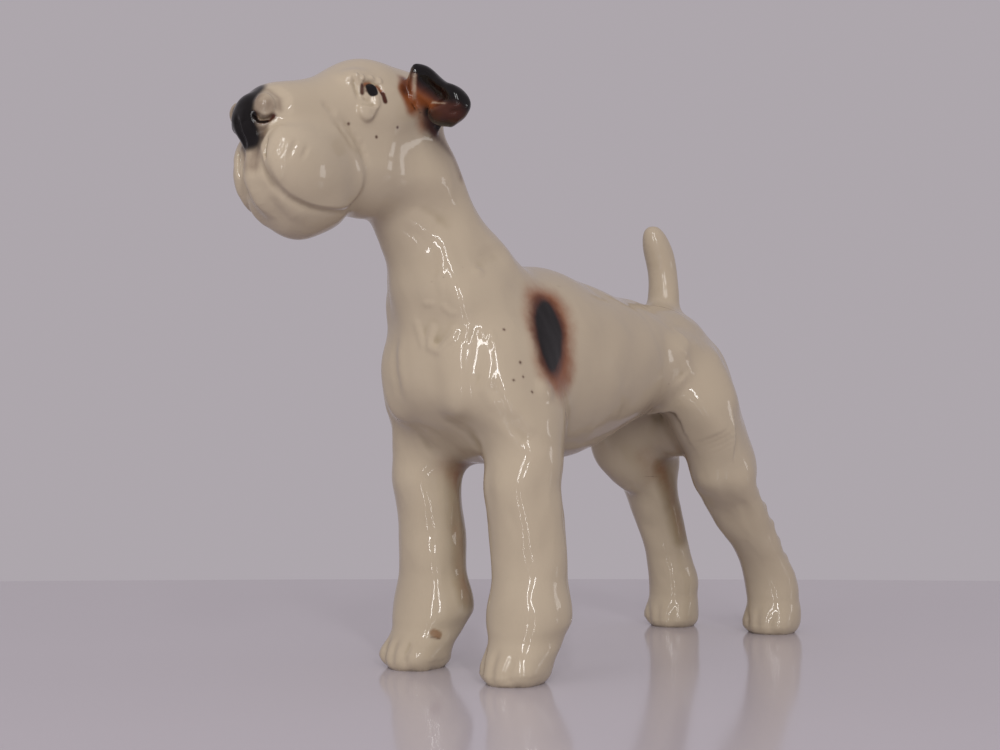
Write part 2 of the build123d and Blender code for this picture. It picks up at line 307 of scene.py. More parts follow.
# %% Push
PUSHES = (
    # place, reach along the three axes, move
    (head(42, 0, 42), (17, 16, 12), (0.3, 0, -2.6)),  # throat
    (head(52, 5, 46), (12, 14, 12), (-2.2, 0, -0.6)),
    (body(1, -11, 128), (14, 11, 12), (1.2, 1.4, 0)),  # the neck narrows under the jaw
    (body(7, -13, 107), (13, 11, 14), (-1.2, -1.4, 0)),  # and flares into the breast
    (head(30, -2, 2), (20, 15, 10), (0, 0, 0.9)),  # top of the skull
    (body(124, 0.5, 146), (14, 12, 20), (-1.3, 0, 0)),  # tip of the tail
    (body(20, 22, 62), (12, 12, 16), (-1.3, 0, 0)),  # right upper arm
    (body(24, 20, 23), (16, 14, 14), (1.5, 0, 0)),  # right pastern
    (body(36, 14, 15), (9, 12, 9), (2.2, 0, 0)),  # right heel
    (body(137.5, 22, 56), (7, 10, 7), (1.0, 0, 0.4)),  # right stifle
    (body(141, 20, 46), (10, 12, 11), (-1.4, 0, 0)),
    (body(24, -17, 47), (17, 17, 26), (-2.2, 0.5, 0)),  # left foreleg
    (body(130, -17, 50), (13, 12, 20), (-2.2, 0, 0)),  # left stifle
    (body(147, -13, 42), (14, 12, 15), (-1.9, 1.4, 0)),  # and shin
    (body(133, -20, 104), (16, 16, 14), (-1.4, 0.6, 0)),  # rump
    (body(138, -26, 82), (18, 16, 40), (-1.7, 0.7, 0)),
    (body(92, -6, 74), (16, 20, 8), (0, 0, 0.9)),  # belly
    (body(78, -8, 118), (24, 22, 10), (0, 0, -0.9)),  # loin
    (body(32, -12, 120), (12, 14, 9), (0, -0.4, 1.0)),  # withers
    (body(150, -24, 44), (15, 16, 18), (-1.4, 0, 0)),  # left hock
    (body(139, -14, 50), (12, 12, 12), (-2.4, 0.6, 0)),
    (body(5.5, -12, 93), (12, 14, 26), (1.5, 0, 0)),  # left of the keel
    (body(5.5, 11, 95), (12, 10, 22), (0.9, 0, 0)),
    (body(177, -28, 8), (9, 14, 13), (1.7, 0, 0)),  # left heel
    (head(19.5, 0, 53), (9, 10, 8), (0, 0, -0.9)),  # chin
    (head(4, -1, 42), (8, 9, 9), (-0.8, 0, 0)),
    (head(1, 0, 18), (7, 9, 7), (0.6, 0, -0.5)),  # bridge of the nose
)
for push in PUSHES:
    grab(rough_skin, *push)
even_out(rough_skin, 3, 0.4)
calm(rough_skin, body(5, 0, 88), (15, 17, 27), 30)  # breast
calm(rough_skin, body(135, 18.5, 55), (17, 14, 15), 26)  # lower end of the fold
grab(rough_skin, body(4.4, 1.5, 90), (9, 12, 26), (-1.3, 0, 0))  # keel of the breast
swell(rough_skin, body(129, 0, 135), (14, 14, 17), 1.3)  # middle of the tail
rough_skin.write()
pick(rough)
rounder = rough.modifiers.new("rounder", "SUBSURF")
rounder.levels = rounder.render_levels = 1
bpy.ops.object.modifier_apply(modifier=rounder.name)
print("rough lump wiped:", [round(v / MM, 1) for v in rough.dimensions])

# %% [markdown]
# ## Features
# The forms that a mould can't give crisply are added now as eggs of clay: the moustache, the brows, the
# eyes, the nostrils and the toes. The two ear castings join in only here, because the long wipe would have
# rounded their thin flaps, and each gets an egg under the flap, where the real ear is folded over. A finer
# remesh takes them all in, and a short wipe seats them.
# %% Eggs for the head
EAR_MOVE = Vector((-0.7, 0, 0.2)) * MM
ears = [copy_of(node) for node in EARS]
pick(*ears)  # they sit a little further forward than their castings
bpy.ops.transform.translate(value=EAR_MOVE)
bpy.ops.object.transform_apply(location=True, rotation=False, scale=False)
under_flaps = both_sides(51.8, 23.3, 17.9, (4.5, 5.8, 3.3))
ear_points = {
    node: [v.co.copy() for part in parts for v in part.data.vertices]
    for node, *parts in zip(EARS, ears, under_flaps)
}
features = [rough, *ears, *under_flaps]
features += both_sides(20.5, 5.8, 36.0, (15.4, 7.0, 12.6), turn=-4, tip=12)  # moustache
features += both_sides(33.5, 7.7, 10.6, (7, 4.5, 4.0), turn=-12)  # brow
features += both_sides(34.2, 8.9, 14.0, (4.0, 4.2, 3.8))  # eye
features += both_sides(33.2, 9.9, 20.3, (4.2, 3.4, 4.2))  # pouch under the eye
features.append(ball(head(7.4, 0, 25.7), (6.6, 6.0, 7.2), turn=-15))  # nose
features += both_sides(6.8, 4.5, 23.2, (3.8, 2.2, 3.4), tip=35, turn=-20)  # wing of the nostril

# %% Eggs for the toes
TOES = {"left_foreleg": (3.5, 2.2), "right_foreleg": (4.8, 3.6), "left_hindleg": (3.6, 2.6)}
for node in LEGS:
    reach_middle, reach_side = TOES.get(node, (3.6, 2.6))
    for spread in (-6.4, -2.15, 2.15, 6.4):
        reach = reach_middle if abs(spread) < 4 else reach_side
        features.append(ball(SOLES[node] + Vector((-reach, 0.92 * spread, 4.0)) * MM, (6.2, 4.1, 4.2)))

# %% Merge and seat them
skin = merge(features, "skin", 0.6 * MM)
CHEEK_SEATS, PAW_SEATS, OTHER_SEATS = 40, 24, 8
seat = Skin(skin)
even_out(seat, 2, 0.5)
on_cheek = within(seat, head(8, -50, 70), head(60, 50, 24))
on_paw = seat.co[:, 2] < 16
wipe(seat, CHEEK_SEATS, np.where(on_cheek, CHEEK_SEATS, np.where(on_paw, PAW_SEATS, OTHER_SEATS)))
even_out(seat, 24, 0.5, on_cheek | on_paw & (seat.co[:, 2] > 0.6))
even_out(seat, 30, 0.5, within(seat, head(-20, -50, 10.5), head(43, 50, -20)))  # crown

# %% [markdown]
# ## A finer face
# The eyes and the nostrils need smaller facets than the flanks. Splitting only the faces of the head keeps
# the whole dog light.
# %% Subdivide the head


def select_faces(thing, test):
    """Selects the faces whose middle, in metres, passes the test."""
    pick(thing)
    mesh = thing.data
    middles = np.empty(len(mesh.polygons) * 3)
    mesh.polygons.foreach_get("center", middles)
    chosen = test(middles.reshape(-1, 3))
    bpy.ops.object.mode_set(mode="EDIT")
    bpy.ops.mesh.select_mode(type="FACE")
    bpy.ops.mesh.select_all(action="DESELECT")
    bpy.ops.object.mode_set(mode="OBJECT")
    mesh.polygons.foreach_set("select", chosen)
    return int(chosen.sum())


def on_face(middle):
    """The head down to a slanting line behind the ears and the throat."""
    behind = middle[:, 0] - head(44, 0, 24).x
    return (behind < 18 * MM) & (middle[:, 2] > head(0, 0, 24).z + 2.2 * behind) & (
        middle[:, 2] > head(0, 0, 56).z
    )


count = select_faces(skin, on_face)
bpy.ops.object.mode_set(mode="EDIT")
bpy.ops.mesh.subdivide(number_cuts=1, smoothness=0)
bpy.ops.object.mode_set(mode="OBJECT")
print("faces of the head split:", count, "points now:", len(skin.data.vertices))
clay = Skin(skin)
even_out(clay, 1, 0.5)

# %% [markdown]
# ## Tooling
# Two tools do the rest. A loop tool draws a ridge or, with a negative height, a groove. It follows a few
# places that are laid on the skin. A leaf is a flat patch of clay with an outline: its edge rises within a
# width that each corner gives, crisp where it overlaps what is below, as the moustache does over the beard,
# and soft where it runs out. Sculpt brushes need a window and a hand, so the strokes are written down
# instead, and each point near a stroke moves along its own normal.
# %% The loop tool
STEP = 0.5  # mm between the marks of a stroke


def laid(surface, places):
    """Marks every half millimetre between the places, each laid on the nearest point of the skin."""
    marks = []
    for start, end in zip(places, places[1:]):
        span = (end - start) / MM
        steps = max(1, round(span.length / STEP))
        marks += [start / MM + span * (k / steps) for k in range(steps)]
    marks.append(places[-1] / MM)
    return [surface.tree.find(mark)[0] for mark in marks]


def fading(share, ends):
    """1 in the middle of a stroke, falling to 0 at its ends."""
    near = min(share, 1 - share)
    return 1.0 if near >= ends else math.sin(near / ends * math.pi / 2)


def tool(surface, places, width, height, ends=0.3):
    """One stroke. width is the reach to each side and height how far the middle moves, both in mm."""
    marks = laid(surface, places)
    lifts = {}
    for number, spot in enumerate(marks):
        weight = fading(number / max(1, len(marks) - 1), ends) if ends else 1.0
        for _, near, distance in surface.tree.find_range(spot, width):
            lifts[near] = max(lifts.get(near, 0.0), (1 - (distance / width) ** 2) ** 2 * weight)
    chosen = np.fromiter(lifts.keys(), np.int64, len(lifts))
    lift = np.fromiter(lifts.values(), float, len(lifts)) * height
    surface.co[chosen] += surface.normal[chosen] * lift[:, None]


def mirrored(places):
    return [Vector((p.x, -p.y, p.z)) for p in places]


def tool_both(surface, places, *stroke, **settings):
    """The same stroke on both sides."""
    tool(surface, places, *stroke, **settings)
    tool(surface, mirrored(places), *stroke, **settings)


def comb(place, *strokes):
    """Strokes on both sides of the clay: their places on the head or the body, width, height and ends."""
    for spots, *stroke in strokes:
        tool_both(clay, [place(*spot) for spot in spots], *stroke)


# %% A leaf of clay


def rounded(corners, widths, steps=8):
    """A smooth closed line through flat corners, as short sides, each with a width of its own."""
    count, ring = len(corners), []
    for k in range(count):
        a, b, c, d = (corners[(k + j - 1) % count] for j in range(4))
        for t in np.arange(steps) / steps:
            curve = 2 * b + (c - a) * t + (2 * a - 5 * b + 4 * c - d) * t**2 + (3 * b - a - 3 * c + d) * t**3
            ring.append((curve / 2, widths[k] * (1 - t) + widths[(k + 1) % count] * t))
    return [(*one, other[0]) for one, other in zip(ring, ring[1:] + ring[:1])]


def leaf(surface, outline, height, groove=0.0):
    """Lays a leaf inside an outline. Each corner gives the width of the edge there, crisp or soft, in mm."""
    corners = np.array([corner for corner, _ in outline]) / MM
    middle = corners.mean(0)
    axes = np.linalg.svd(corners - middle)[2]
    axes[2] *= np.sign(axes[2] @ surface.normal[surface.tree.find(middle)[1]])
    flat = (corners - middle) @ axes[:2].T
    reach = np.linalg.norm(flat, axis=1).max() + 4
    away = surface.co - middle
    near = (np.linalg.norm(away, axis=1) < reach) & (np.abs(away @ axes[2]) < 0.45 * reach)
    near &= surface.normal @ axes[2] > 0
    chosen = np.flatnonzero(near)
    spots = (surface.co[chosen] - middle) @ axes[:2].T
    inside, away, edge = np.zeros(len(spots), bool), np.full(len(spots), np.inf), np.ones(len(spots))
    for start, width, end in rounded(flat, [width for _, width in outline]):
        along = end - start
        share = np.clip((spots - start) @ along / (along @ along), 0, 1)
        distance = np.linalg.norm(spots - start - share[:, None] * along, axis=1)
        edge = np.where(distance < away, width, edge)
        away = np.minimum(away, distance)
        level = (spots[:, 1] - start[1]) / (end[1] - start[1] + 1e-12)
        inside ^= (level > 0) & (level <= 1) & (spots[:, 0] < start[0] + level * along[0])
    rise = np.clip(away / edge, 0, 1) * inside
    rise = rise * rise * (3 - 2 * rise)  # soft at its foot and at its top
    dip = np.exp(-(((np.where(inside, -away, away) - 0.4) / 0.6) ** 2)) * np.clip(2 - edge, 0, 1)
    surface.co[chosen] += surface.normal[chosen] * (height * rise - groove * dip)[:, None]


def leaf_both(surface, place, rows, height, groove=0.0):
    """The same leaf on both sides. A row is a corner on the head or on the body, and the width there."""
    for hand in (1, -1):
        outline = [(place(back, hand * side, level), width) for back, side, level, width in rows]
        leaf(surface, outline, height, groove)


# %% [markdown]
# ## The face
# A wire-haired terrier is all moustache and beard, which the modeller lays over the jaw as one combed leaf
# on each side. Creases at its rear and a fold below it part it from the cheek and the chin. The nose is a
# small egg with a comma for each nostril, under a wing of skin. The eyes are shallow: a lid, a pouch and a
# few tufts of the brow do more than the eyeball, whose pupil is only painted. The ears get the cup of the
# flap, the ridge at its front and the roll of its edge.
# %% The moustache over the beard
clay.settle()
MOUSTACHE = (
    (5.4, -5.4, 30.0, 1.4), (4.9, -4.2, 33.5, 1.0), (5.1, -4.3, 36.5, 1.0), (5.7, -5.2, 39.6, 1.0),
    (7.6, -6.8, 43.0, 1.0), (10.6, -8.2, 45.6, 1.0), (15.0, -9.0, 47.2, 1.0), (20.1, -9.6, 47.8, 1.1),
    (26.5, -8.8, 47.0, 1.3), (31.0, -8.5, 45.2, 1.8), (34.9, -8.0, 41.0, 2.4), (35.4, -9.9, 36.8, 3.0),
    (33.6, -11.0, 32.2, 3.5), (29.8, -11.2, 27.4, 4.0), (24.0, -10.9, 23.6, 5.0),
    (16.0, -10.5, 24.2, 7.0), (9.5, -8.6, 26.2, 4.5), (6.6, -6.9, 27.8, 2.2),
)
leaf_both(clay, head, MOUSTACHE, 1.0, 0.25)
CREASES = (
    (((24.7, -10.9, 22.4), (28.5, -11.2, 25.4), (31.9, -11.2, 29.2), (34.0, -11, 33)), -0.5),
    (((22.7, -10.9, 23.8), (25.9, -11.2, 26.8), (28.8, -11.3, 30.4)), -0.4),
    (((20.2, -10.6, 20.0), (23.0, -10.8, 22.0)), -0.4),
)
for crease, depth in CREASES:
    tool_both(clay, heads(crease), 1.8, depth)
grab(clay, head(6, 10, 37), (13, 12, 15), (1.5, -1.1, 0))
clay.settle()
HAIRS = (
    ((6.2, -6.5, 28.8), (5.7, -5.3, 32.2)), ((6.8, -10.4, 33.1), (5.6, -8.9, 37.6)),
    ((8.0, -11.2, 32.5), (6.5, -10.6, 37.7)), ((10.2, -12.3, 32.7), (8.0, -11.7, 38.1)),
    ((12.9, -12.9, 33.7), (11.0, -12.8, 37.8)),
)
for hair in HAIRS:
    tool_both(clay, heads(hair), 1.0, -0.32, ends=0.5)
comb(
    head,
    (((4.4, -2.2, 34.0), (4.7, -2.6, 37.1), (5.0, -2.8, 40.5)), 2.0, -0.55),  # fold of the beard
    (((5.3, -2.9, 41.6), (6.3, -4, 44.6), (8.2, -4, 47.5), (10.9, -2.8, 49.9),
     (14, -1, 52)), 4.2, -0.9),  # valley above the chin
    (((8.5, -6.6, 45.5), (12.5, -7.2, 47.8), (17, -7, 50)), 3.4, 0.6),
)
clay.write()
even_out(clay, 2, 0.4)

# %% The nose and its nostrils
clay.settle()
WING = (
    (2.6, -4.2, 22.2, 1.4), (4.1, -4.8, 20.4, 1.0), (5.6, -6.1, 20.2, 1.0), (7.0, -7.2, 21.4, 1.0),
    (7.6, -7.9, 23.3, 1.1), (7.1, -7.6, 25.4, 0.9), (5.9, -6.8, 26.6, 0.7), (4.5, -5.9, 26.7, 0.7),
    (3.2, -5.0, 25.6, 0.9), (2.5, -4.3, 24.0, 1.6),
)
leaf_both(clay, head, WING, 0.6)
COMMA = ((3.0, -4.8, 26.1), (4.2, -5.6, 27.3), (5.5, -6.4, 27.3), (6.7, -7.4, 26.2))
tool_both(clay, heads(COMMA), 1.0, -1.2, ends=0.2)
comb(
    head,
    (((2.0, -3.7, 27.2), (3.3, -4.7, 28.6), (5.0, -5.9, 28.7), (6.8, -7.2, 27.6)), 1.3, 0.45),  # lip
    (((7.6, -5.9, 18.4), (9.2, -8.0, 21), (9.2, -8.8, 24.5)), 2.6, -0.7),
)
tool(clay, [head(0.2, 0, 26), head(1.2, 0, 30), head(3.0, 0, 34)], 1.3, -0.6)

# %% The eyes
clay.settle()
comb(
    head,
    (((31.4, -12, 13.8), (32.3, -12.2, 11.9), (34.2, -12.5, 11.1), (36.2, -12.9, 11.9),
     (37.2, -13.8, 14.4)), 0.9, -0.6, 0.15),  # lid
    (((31.1, -12.3, 15.4), (32.0, -12.7, 16.5), (33.5, -13.1, 16.9)), 0.9, -0.4),
    (((29.3, -11.5, 10.4), (29.4, -11.1, 12.7), (30.2, -12.1, 16.9)), 1.0, -0.5),
    (((35.0, -13.6, 15.6), (35.2, -13.7, 17.0)), 1.6, 0.45, 0),
)
POUCH = (
    (29.7, -12, 18.3, 1.3), (29.5, -11.9, 20.8, 1.3), (31.1, -12.1, 22.6, 1.4), (32.9, -12.4, 23, 1.4),
    (34.5, -13, 21.9, 1.4), (35.6, -13.6, 19.6, 1.3), (36, -13.9, 17.6, 1.2), (33.8, -13.3, 18, 0.9),
    (31.6, -12.6, 18, 1.0),
)
leaf_both(clay, head, POUCH, 0.8)
TUFTS = (
    ((31.2, -12.1, 9.4), (31.7, -12.1, 11.5)), ((34.4, -12.5, 9.2), (34.7, -12.5, 10.6)),
    ((36.7, -12.5, 9.2), (37, -13.1, 11)), ((29.6, -11.5, 9), (30.1, -11.6, 10.8)),
)
for tuft in TUFTS:
    tool_both(clay, heads(tuft), 0.95, 0.5, ends=0.4)

# %% The ears
for hand in SIDES:
    grab(clay, head(50.5, hand * 25, 7.5), (8, 6, 6), (0, 0, -1.2))
    grab(clay, head(53.5, hand * 29, 15), (6, 6, 7), (0.7, hand * 0.4, -0.3))
clay.settle()
comb(
    head,
    (((47.2, -19.2, 9.0), (48.3, -22.5, 12.0), (48.9, -26, 14.6)), 4.2, -1.6),  # cup
    (((46.4, -17.2, 4.6), (45.7, -16.9, 7.3), (46.2, -15.7, 9.6), (46.6, -14.9, 14)), 1.5, 0.8),  # ridge
)
clay.settle()
comb(
    head,
    (((51.6, -18.3, 16.3), (51.3, -20.9, 16.5), (49.9, -26.2, 17.3),
     (50.5, -29.8, 17.2)), 1.1, 0.55),  # roll
    (((52.2, -20.1, 16.9), (51, -24.7, 17.7), (50.4, -28.7, 18.1)), 0.9, -0.6),
    (((53.9, -18.7, 17.8), (53.3, -22, 18.2), (51.4, -26.9, 18.8)), 1.2, 0.45),
)
SLIT = ((51.2, -17.2, 15.8), (53, -17.2, 17.5), (54.9, -16.5, 18.6), (57.2, -15.4, 19.4))
tool_both(clay, heads(SLIT), 2.0, -1.4, ends=0.2)
clay.write()

# %% [markdown]
# ## The wire coat
# The coat is only hinted at: shallow waves that follow the way the hair lies, and a few deeper locks where
# it is long. The waves are a noise that is stretched along the hair. The locks are strokes: each starts at
# a point chosen by a seeded draw and walks a few millimetres along the flow, staying on the skin.
# %% Waves and locks of hair
draw = np.random.default_rng(7)


def softly_within(low, high, blend=5.0):
    """A weight for points between two corners, fading over the last mm inside them."""
    low, high = np.minimum(low, high) / MM, np.maximum(low, high) / MM
    return lambda co: np.clip(np.minimum(co - low, high - co) / blend, 0, 1).prod(1)


def wave(surface, weight, flow, length, width, height):
    """Combs waves that long and that wide into the skin."""
    flow = Vector(flow).normalized()
    aside = flow.orthogonal().normalized()
    rows = np.array([flow / length, aside / width, flow.cross(aside) / width])
    chosen = np.flatnonzero(weight > 0)
    spots = surface.co[chosen] @ rows.T
    bend = np.array([noise.noise(Vector(spot) * 0.6) for spot in spots])
    spots[:, 1] += bend * 0.8
    relief = np.array([noise.noise(Vector(spot)) for spot in spots])
    relief = 0.7 * relief + 0.8 * (0.25 - np.abs(relief))
    surface.co[chosen] += surface.normal[chosen] * (relief * weight[chosen] * height)[:, None]


def locks(surface, weight, flow, count, length, width, height):
    """Draws single locks along the flow, each a ridge or a groove."""
    choices = np.flatnonzero(weight > 0.5)
    flow = Vector(flow).normalized()
    for start in draw.choice(choices, count):
        spot, index = Vector(surface.co[start]), int(start)
        bend = draw.uniform(-0.35, 0.35)
        places = [spot * MM]
        for k in range(int(length * draw.uniform(0.6, 1.3) / 2)):
            normal = Vector(surface.normal[index])
            along = (flow - normal * flow.dot(normal)).normalized()
            along = (along + along.cross(normal) * bend * math.sin(k * 0.9)).normalized()
            spot, index, _ = surface.tree.find(spot + along * 2)
            places.append(spot * MM)
        if len(places) > 1:
            tool(surface, places, width * draw.uniform(0.8, 1.2), height * draw.choice([-1.0, 0.8]), ends=0.5)


# %% Comb every part of the coat
clay.settle()
COATS = (
    # low corner, high corner, flow, wave length, width, height, number of locks, their length and height
    (head(46, -20, 26), head(98, 20, 70), (0.5, 0, -0.85), 26, 8, 0.3, 6, 16, 0.15),  # neck
    (body(-8, -16, 66), body(24, 16, 118), (0.2, 0, -1), 18, 6, 0.12, 4, 12, 0.12),  # breast
    (body(8, -40, 62), body(42, 40, 118), (0.25, 0, -0.97), 20, 7, 0.22, 8, 14, 0.1),  # shoulders
    (body(34, -40, 60), body(104, 40, 124), (0.55, 0, -0.85), 20, 7, 0.2, 14, 13, 0.08),  # ribs and loin
    (body(94, -40, 58), body(166, 40, 124), (0.5, 0, -0.87), 22, 8, 0.18, 6, 15, 0.08),  # thighs
    (body(-4, -40, 14), body(54, 40, 64), (0.05, 0, -1), 16, 6, 0.42, 20, 9, 0.16),  # forelegs
    (body(106, -40, 14), body(194, 40, 64), (0.6, 0, -0.8), 10, 5, 0.3, 18, 8, 0.15),  # hind legs
)
for low, high, flow, length, width, height, count, lock, depth in COATS:
    weight = softly_within(low, high)(clay.co)
    wave(clay, weight, flow, length, width, height)
    locks(clay, weight, flow, count, lock, 0.55 * width, depth)
clay.write()

# %% Hand-made unevenness
every_point = [Vector(place) / 13 for place in clay.co]
uneven = np.array([noise.noise(place) for place in every_point])
away_from_face = 1 - softly_within(head(0, -20, 0), head(44, 20, 60))(clay.co)
clay.co += clay.normal * (uneven * 0.7 * away_from_face * (clay.co[:, 2] > 3))[:, None]
clay.write()

# %% [markdown]
# ## Legs and muscles
# The hair of the legs ends in a cuff over each paw, so a band swells the pastern and another pinches it
# below. The thigh is a broad leaf with a very soft edge, because its muscle stands out from the loin without
# a line. The strokes on the shoulder, the breast and the backs of the hind legs are single tufts: on the
# real dog they are what catches the light. The curl and the wisps of the breast are on the left alone, as
# no two sides of a hand-finished figure are alike.
# %% Cuffs over the paws


def band(surface, node, height, width, lift, slope=0.0):
    """Raises or pinches a leg all round, that high above its sole and climbing towards the heel."""
    away = surface.co - np.array(SOLES[node]) / MM
    leg = (np.abs(away[:, 1]) < 16) & (away[:, 2] < 45) & (np.abs(away[:, 0]) < 26)
    fall = np.clip(1 - ((away[:, 2] - height - slope * away[:, 0]) / width) ** 2, 0, 1) ** 2
    surface.co[leg] += surface.normal[leg] * (fall[leg] * lift)[:, None]


for node in LEGS:
    strong = 1.0 if node.endswith("foreleg") else 0.5
    band(clay, node, 20, 9, 0.8 * strong)
    band(clay, node, 11.6, 3.8, -0.5 * strong, 0.1)
clay.write()

# %% Grooves between the toes
clay.settle()
for node in LEGS:
    reach_middle, reach_side = TOES.get(node, (3.6, 2.6))
    for spread in (-4.2, 0, 4.2):
        reach = reach_side if spread else reach_middle
        marks = [(-reach - 6.4, 1.2), (-reach - 5.6, 4.6), (-reach - 2.2, 8.0)]
        groove = [SOLES[node] + Vector((back, spread, up)) * MM for back, up in marks]
        tool(clay, groove, 1.9, -0.62 if node.endswith("foreleg") else -0.45)
clay.write()

# %% Muscles of the thigh and folds of the shoulder
clay.settle()
HAUNCH = (
    (101, -20, 105.4, 14), (98.5, -21.2, 98.4, 16), (98.5, -21.1, 91.6, 16), (101.5, -19.8, 85, 12),
    (109.6, -17.4, 78.6, 8), (118, -19, 70, 8), (126, -23, 59, 19), (131.9, -28.3, 56.3, 27),
    (138.2, -30, 66, 22), (141.8, -26.6, 81.4, 15), (141.4, -22.1, 95.2, 15), (137.3, -17.1, 106.6, 15),
    (122.8, -16.8, 111.3, 13), (110, -18, 110, 8),
)
leaf_both(clay, body, HAUNCH, 3.4)
clay.settle()
comb(
    body,
    (((105.5, -21.3, 101.5), (110, -23, 96), (114.6, -24.4, 89.5)), 3.2, 0.45),
    (((12, -20.6, 86), (14.4, -22.5, 79), (17, -24, 74), (21, -27, 69),
     (31, -30.5, 64)), 3.6, -0.6),  # fold in front of the arm
    (((13.3, -21.5, 86.5), (13.5, -20.9, 81), (16.6, -22.9, 74.9)), 2.8, 0.75),
    (((28.8, -28.4, 82.2), (30.2, -28.4, 81)), 4.0, 0.9, 0),
    (((11, -6, 74), (18, -10, 70), (25, -10, 65)), 3.6, -0.5),
    (((13.7, -15.6, 117.1), (16.5, -16, 118), (22.1, -15.5, 120.7),
     (28.4, -14, 123.1)), 4.0, -0.45),  # withers
    (((14, -16.4, 115), (14.6, -16.6, 114.4)), 2.2, 0.5, 0),
)

# %% Hair of the neck and the breast
comb(
    body,
    (((-5.6, -5.6, 129.6), (-2.1, -10.1, 131.3), (3, -12.6, 131.7),
     (10.3, -13.3, 131.2)), 9.0, -0.8),  # under jaw
)
clay.settle()
comb(
    body,
    (((-3.5, -6.3, 127.6), (-1.7, -8.7, 128.1), (0.9, -10.4, 127.2), (3.2, -11.3, 125.6),
     (5.8, -12, 121.4), (7.1, -12.2, 116.7), (7.5, -13, 111.9),
     (7.1, -13.8, 106.7)), 4.0, 0.5, 0.15),  # collar
    (((5.2, -10.9, 117.1), (5.3, -10.5, 111.9), (5.8, -11.2, 106.9)), 1.6, 0.3),
)
CURL = (
    (5.3, -8.2, 99.4), (4.9, -6.9, 96.8), (4.6, -6.5, 93.6), (4.3, -10.1, 92.2), (5.1, -12.4, 94.2),
    (6.7, -14, 96.5), (7.7, -14.4, 98.3),
)
tool(clay, bodies(CURL), 1.7, 0.6, ends=0.15)
WISPS = (
    ((5.8, -10.9, 104.7), (6.8, -12.9, 102.9), (7.9, -14.2, 101.9)), ((10, -16.9, 98.8), (9.4, -16.9, 94.8)),
    ((15, -21.2, 97.8), (15, -22.9, 92.5)), ((3.5, -2.2, 101.2), (4.6, -4.4, 93.2)),
    ((13.2, -19.3, 97.6), (13.2, -19.6, 96)), ((3.4, -6.1, 105.2), (4.6, -8, 105.6)),
)
for wisp in WISPS:
    tool(clay, bodies(wisp), 1.5, 0.32, ends=0.2)
keel = bodies(((4.4, 3.8, 97), (4.5, 4.1, 90.4), (5, 3.3, 84.8), (6.1, 3.7, 79.6)))
tool(clay, keel, 2.6, 0.35)
tool(clay, [place + Vector((0, 3 * MM, 0)) for place in keel], 2.6, -0.25)

# %% The ragged back of the hind legs
for number, up in enumerate(range(22, 56, 3)):
    lift = -0.5 if number % 2 else 0.9
    left = body(181 - (up - 20), -23, up)
    right = SOLES["right_hindleg"] + Vector((12 - 0.42 * (up - 20), 0, up)) * MM
    for place, share in ((left, 1.0), (right, 0.35)):
        inner, outer = Vector((-3, 6, 1.5)) * MM, Vector((-2, -5, 1.5)) * MM
        tool(clay, [place + inner, place, place + outer], 2.4, lift * share, ends=0.5)
clay.write()

# %% Take off the tool marks and rub the soles flat
even_out(clay, 2, 0.4)
clay.co[clay.co[:, 2] < 0.35, 2] = 0
clay.write()
print("coat combed, size:", np.round(np.ptp(clay.co, axis=0), 1))

# %% The vent that lets the steam out of the hollow casting
VENT_RADIUS, VENT_DEPTH, BELOW_BACK = 2.4, 3.5, 85
vent = np.array(body(89.6, 0, 0)) / MM
from_vent = np.hypot(clay.co[:, 0] - vent[0], clay.co[:, 1] - vent[1]) / VENT_RADIUS
at_vent = (from_vent < 1) & (clay.co[:, 2] < BELOW_BACK)
clay.co[at_vent, 2] += VENT_DEPTH * (1 - from_vent[at_vent] ** 4)
clay.write()

# %% [markdown]
# ## Where the glaze gathers
# Glaze runs off the ridges and gathers in the hollows, where it looks darker and warmer. How much a point
# lies in a hollow is found by smoothing a copy of the skin and looking how far each point rose. The number
# is stored on the points, because a material can't look round a corner by itself.
# %% Measure the hollows
FULL_RISE = 0.5  # mm from the middle of the scale, 0.5, to either end
smooth_co = clay.co.copy()
for _ in range(14):
    smooth_co += (clay.mean(smooth_co) - smooth_co) * 0.8
rise = ((smooth_co - clay.co) * clay.normal).sum(1)[:, None]
for _ in range(2):
    rise = clay.mean(rise)
stains_and_shade = {"hollow": np.clip(0.5 + rise[:, 0] / FULL_RISE, 0, 1)}
print("points in hollows:", round(float((rise > 0).mean()), 2))

# %% [markdown]
# ## Sprayed marks
# Before the glaze, the painter sprays colour with an airbrush: black on the nose and the pupils, brown and
# orange on the ears, and one patch on the left flank with an orange halo. Some of the sprays are painted
# shade: in the hollow behind each nostril's wing and under its lip, under and behind the ears, and on the
# insides of the legs under the chest and between the thighs. Thin lines thinned out of the sprays on the ears
# and on the patch are painted highlights. A spray is full along a line and fades over a soft edge. A texture
# painted on a flat map would need the skin unwrapped first, so the sprays are stored on the points instead,
# and the glaze material mixes them in. The kiln adds small iron specks, and two lines down the right legs
# are tinted ochre and given the darker glaze colour of a hollow.
# %% The airbrush
clay.settle()
for name in ("black", "brown", "orange", "bare"):
    stains_and_shade[name] = np.zeros(clay.count)


def cover_of(places, reach, soft, strength=1.0, facing=None):
    """How much a spray along a line covers each point, perhaps only where the skin faces a way."""
    corners = [np.array(clay.tree.find(place / MM)[0]) for place in places]
    away = np.full(clay.count, np.inf)
    for start, end in zip(corners, corners[1:] or corners):
        along = end - start
        share = np.clip((clay.co - start) @ along / max(along @ along, 1e-9), 0, 1)
        away = np.minimum(away, np.linalg.norm(clay.co - start - share[:, None] * along, axis=1))
    cover = np.clip((reach + soft - away) / soft, 0, 1) * strength
    if facing is not None:
        cover = cover * np.clip(clay.normal @ np.array(facing) * 2 + 0.5, 0, 1)
    return cover


